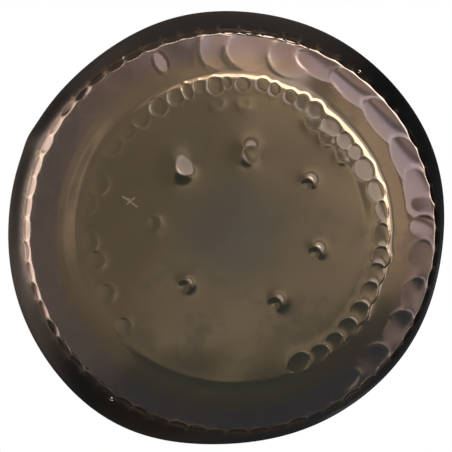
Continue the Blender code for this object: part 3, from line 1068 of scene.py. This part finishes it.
warmth = use_group(web, clouds, "Mask", Vector=where, Scale=6.0, Low=0.45, High=0.68)
band_share = ease(web, value_of["walked"], 0.190, 0.225)
tone = blend(web, maths(web, "MULTIPLY", stains, STAIN_SHARE), ramp.outputs["Color"], STAIN_TONE)
warm_share = maths(web, "MULTIPLY", maths(web, "MULTIPLY", warmth, band_share), WARM_SHARE)
tone = blend(web, warm_share, tone, WARM_TONE)
rubbed = use_group(web, clouds, "Mask", Vector=where, Scale=60.0, Low=0.30, High=0.62)
# The worn mask is stronger on the corner, where its lightness is partly a painted highlight.
corner_share = ease(web, value_of["walked"], 0.246, 0.252)
wear_and_corner_sheen = maths(web, "MULTIPLY", maths(web, "MULTIPLY", value_of["ridge"], rubbed),
             maths(web, "MULTIPLY_ADD", corner_share, CORNER_WEAR_AND_SHEEN, RIDGE_WEAR))
tone = blend(web, wear_and_corner_sheen, tone, WORN_AND_SHEEN_TONE)
edge = ease(web, value_of["walked"], BLANK_RADIUS - 0.0016, BLANK_RADIUS - 0.0003, 0.0, EDGE_WEAR)
edge = maths(web, "MULTIPLY", edge, maths(web, "SUBTRACT", 1.0, value_of["hollow"]))
tone = blend(web, edge, tone, WORN_AND_SHEEN_TONE)
tone = blend(web, maths(web, "MULTIPLY", value_of["hollow"], HOLLOW_SHARE), tone, HOLLOW_TONE)
print("patina", len(PATINA_AND_PAINTED_LIGHT), "stops")

# %% [markdown]
# ## A scuff
#
# On the left somebody scraped the lacquer: three short crossing strokes, lighter and duller than
# the metal.

# %% Scuff
SCUFF = (((-0.1424, 0.0446), (-0.1242, 0.0318)), ((-0.1368, 0.0355), (-0.1277, 0.0428)),
         ((-0.1415, 0.0432), (-0.1335, 0.0412)))
SCUFF_WIDTH = 0.0016
SCUFF_SHARE = 0.5
scuffed = 0.0
for (x_from, z_from), (x_to, z_to) in SCUFF:
    mask = use_group(web, stroke, "Mask", Vector=where, From=(x_from, 0.0, z_from), To=(x_to, 0.0, z_to),
                     Width=SCUFF_WIDTH)
    scuffed = maths(web, "MAXIMUM", scuffed, mask)
tone = blend(web, maths(web, "MULTIPLY", scuffed, SCUFF_SHARE), tone, WORN_AND_SHEEN_TONE)
tone = blend(web, value_of["bare"], tone, BARE_TONE)
web.links.new(tone, shader.inputs["Base Color"])
print(len(SCUFF), "strokes")

# %% [markdown]
# ## Shine
#
# Lacquered bronze is nearly a mirror. Stains and wear dull it, and so do the rim and the hollow
# side.

# %% Roughness
POLISH = 0.075
HOLLOW_ROUGH = 0.30
BARE_ROUGH = 0.26
dulling = (
    (stains, 0.045), (drift, 0.015), (maths(web, "MULTIPLY", wear_and_corner_sheen, corner_share), 0.6),
    (ease(web, value_of["walked"], 0.256, 0.276), 0.08), (scuffed, 0.16),
)
rough = POLISH
for mask, amount in dulling:
    rough = maths(web, "MULTIPLY_ADD", mask, amount, rough)
for name, least in (("hollow", HOLLOW_ROUGH), ("bare", BARE_ROUGH)):
    rough = maths(web, "MAXIMUM", rough, maths(web, "MULTIPLY", value_of[name], least))
web.links.new(rough, shader.inputs["Roughness"])
print("roughness from", POLISH, "up, by", len(dulling), "masks")

# %% [markdown]
# ## Lathe rings and brush marks
#
# A few micrometres of bump are all that is left to add: rings from the lathe on the face, and short
# spokes where the bend and the rim were brushed.

# %% Fine relief
LATHE_DEPTH = 0.0000045
SPOKE_DEPTH = 0.000016
turning = use_group(web, polar, "Height", Vector=where, Around=2.2, Outward=620.0)
spokes = use_group(web, polar, "Height", Vector=where, Around=190.0, Outward=26.0)
rim_share = ease(web, value_of["walked"], 0.247, 0.262)
lathe = feed(web, add_node(web, "ShaderNodeBump"), Strength=1.0, Distance=LATHE_DEPTH, Height=turning)
streaks = feed(web, add_node(web, "ShaderNodeBump"), Strength=rim_share, Distance=SPOKE_DEPTH,
               Height=spokes, Normal=lathe.outputs[0])
web.links.new(streaks.outputs[0], shader.inputs["Normal"])
surface.materials.append(metal)
print("bump mm", LATHE_DEPTH * 1000, SPOKE_DEPTH * 1000)

# %% [markdown]
# ## The room that the metal mirrors
#
# Polished metal shows its surroundings more than its colour. The world is a plain grey room with
# soft-edged panels, each given by its direction, size and light: broad daylight in front, a bright
# window on the left, a lamp high on the right with a darker frame round it, and a dim floor. The
# camera sees plain white instead.

# %% Soft panel
def softbox_group():
    """A node group: how much of a soft-edged panel a direction meets, from zero to one.

    Across is the arc tangent of the direction's share along the panel over its share towards it,
    and up is the arc sine of its share upwards. Each is compared with the half size, with a smooth
    edge.
    """
    group, start, finish = new_group("Softbox", ("Direction", "Facing", "Across", "Up"),
                                     ("Half Width", "Half Height", "Edge"), "Mask")
    given = start.outputs
    shares = [vector_maths(group, "DOT_PRODUCT", "Value", given["Direction"], given[name])
              for name in ("Facing", "Across", "Up")]
    across = maths(group, "ARCTAN2", shares[1], shares[0])
    up = maths(group, "ARCSINE", shares[2])
    masks = []
    for angle, half in ((across, given["Half Width"]), (up, given["Half Height"])):
        inner = maths(group, "SUBTRACT", half, given["Edge"])
        outer = maths(group, "ADD", half, given["Edge"])
        masks.append(ease(group, maths(group, "ABSOLUTE", angle), inner, outer, 1.0, 0.0))
    group.links.new(maths(group, "MULTIPLY", *masks), finish.inputs["Mask"])
    return group


softbox = softbox_group()
print("group", softbox.name)

# %% [markdown]
# ## The panels
#
# A panel's row gives its azimuth, elevation, roll, half width, half height and soft edge in
# degrees, and its light. Azimuth is counted from straight in front of the gong towards its right. A
# later panel covers an earlier one.

# %% Panels
SURROUND = (0.032, 0.033, 0.035, 1.0)
PANELS = (
    ("ground", 0.0, -90.0, 0.0, 50.0, 46.0, 12.0, (0.095, 0.09, 0.085)),
    ("ceiling", 0.0, 90.0, 0.0, 42.0, 60.0, 16.0, (0.23, 0.205, 0.185)),
    ("room", -5.0, 5.0, 0.0, 62.0, 50.0, 14.0, (0.20, 0.20, 0.19)),
    ("left wall", -10.0, 2.0, 0.0, 20.0, 22.0, 3.0, (0.52, 0.49, 0.46)),
    ("front", 34.0, 9.0, 0.0, 25.0, 20.0, 4.5, (0.98, 0.90, 0.84)),
    ("front right", 38.0, 9.0, 0.0, 22.5, 20.0, 3.0, (1.28, 1.15, 1.04)),
    ("table", 13.0, -7.8, 0.0, 5.5, 2.3, 2.3, (1.12, 1.03, 0.95)),
    ("floor left", 17.0, -30.0, 0.0, 13.0, 21.0, 2.2, (0.235, 0.25, 0.26)),
    ("floor far", 10.0, -61.0, 0.0, 60.0, 19.0, 5.0, (0.21, 0.195, 0.18)),
    ("floor right", 22.2, -24.0, 32.0, 30.0, 20.0, 1.0, (0.175, 0.215, 0.245)),
    ("near key", 24.4, 9.7, 42.0, 15.5, 28.0, 3.0, (1.28, 1.14, 1.03)),
    ("near glow", 24.4, 9.7, 42.0, 15.2, 5.5, 2.6, (1.80, 1.60, 1.44)),
    ("frame", 24.4, 9.7, 42.0, 14.0, 28.0, 0.8, (0.42, 0.40, 0.385)),
    ("lilac", 24.4, 9.7, 42.0, 11.6, 26.0, 0.5, (1.98, 1.93, 2.30)),
    ("rose", 12.7, 22.7, 42.0, 11.6, 10.5, 0.7, (1.85, 1.54, 1.42)),
    ("key", 30.5, 23.0, 45.0, 15.0, 23.0, 4.0, (8.6, 8.0, 7.8)),
    ("wall", -115.0, 6.0, 0.0, 22.0, 45.0, 12.0, (0.50, 0.41, 0.35)),
    ("window far", -91.0, 11.0, 0.0, 36.0, 30.0, 7.0, (2.0, 1.7, 1.52)),
    ("window", -59.0, 5.0, 0.0, 32.0, 31.0, 8.0, (4.2, 3.75, 3.65)),
    ("backdrop", 180.0, 0.0, 0.0, 21.0, 21.0, 3.0, (1.0, 1.0, 1.0)),
)
print(len(PANELS), "panels")

# %% [markdown]
# ## The world
#
# The panels are laid over one another in order. Only mirrored rays see them: the camera gets plain
# white, and the dull floor gets an even light.

# %% World
EVEN_LIGHT = (0.7, 0.7, 0.7, 1.0)
WHITE = (1.0, 1.0, 1.0, 1.0)
world = bpy.data.worlds.new("studio")
bpy.context.scene.world = world
world.use_nodes = True
tree = world.node_tree
tree.nodes.clear()
looking = add_node(tree, "ShaderNodeTexCoord").outputs["Generated"]
colour = SURROUND
for name, azimuth, elevation, roll, half_width, half_height, edge, radiance in PANELS:
    a, e, t = radians(azimuth), radians(elevation), radians(roll)
    facing = Vector((sin(a) * cos(e), -cos(a) * cos(e), sin(e)))
    right = Vector((cos(a), sin(a), 0.0))
    above = facing.cross(right)
    across, up = right * cos(t) + above * sin(t), above * cos(t) - right * sin(t)
    mask = use_group(tree, softbox, "Mask", Direction=looking, Facing=facing, Across=across, Up=up,
                     Half_Width=radians(half_width), Half_Height=radians(half_height), Edge=radians(edge))
    mask.node.label = name
    colour = blend(tree, mask, colour, (*radiance, 1.0))
ray = add_node(tree, "ShaderNodeLightPath").outputs
mirrored = maths(tree, "MAXIMUM", ray["Is Glossy Ray"], ray["Is Transmission Ray"])
seen = blend(tree, ray["Is Camera Ray"], blend(tree, mirrored, EVEN_LIGHT, colour), WHITE)
light = feed(tree, add_node(tree, "ShaderNodeBackground"), Color=seen)
feed(tree, add_node(tree, "ShaderNodeOutputWorld"), Surface=light.outputs[0])
print(len(tree.nodes), "nodes light the room")

# %% [markdown]
# ## The floor
#
# A pale round floor lies well under the gong, which hangs. It takes a soft shadow and stays out of
# the reflections.

# %% Floor
FLOOR_RADIUS = 1.3
FLOOR_HEIGHT = -0.72
FLOOR_SIDES = 96
FLOOR_TONE = (0.8, 0.8, 0.8, 1.0)
floor_mesh = bpy.data.meshes.new("floor")
turns = 2 * pi * np.arange(FLOOR_SIDES) / FLOOR_SIDES
level_ring = np.full(FLOOR_SIDES, FLOOR_HEIGHT)
ring = np.stack((FLOOR_RADIUS * np.cos(turns), FLOOR_RADIUS * np.sin(turns), level_ring), axis=-1)
floor_mesh.from_pydata(ring.tolist(), [], [list(range(FLOOR_SIDES))])
floor = bpy.data.objects.new("floor", floor_mesh)
bpy.context.collection.objects.link(floor)
paint = bpy.data.materials.new("pale_floor")
paint.use_nodes = True
feed(paint.node_tree, paint.node_tree.nodes["Principled BSDF"], Base_Color=FLOOR_TONE, Roughness=0.9)
floor_mesh.materials.append(paint)
floor.visible_glossy = False
print("floor", FLOOR_HEIGHT, "m below the gong's centre")

bpy.context.scene.view_settings.view_transform = "Standard"
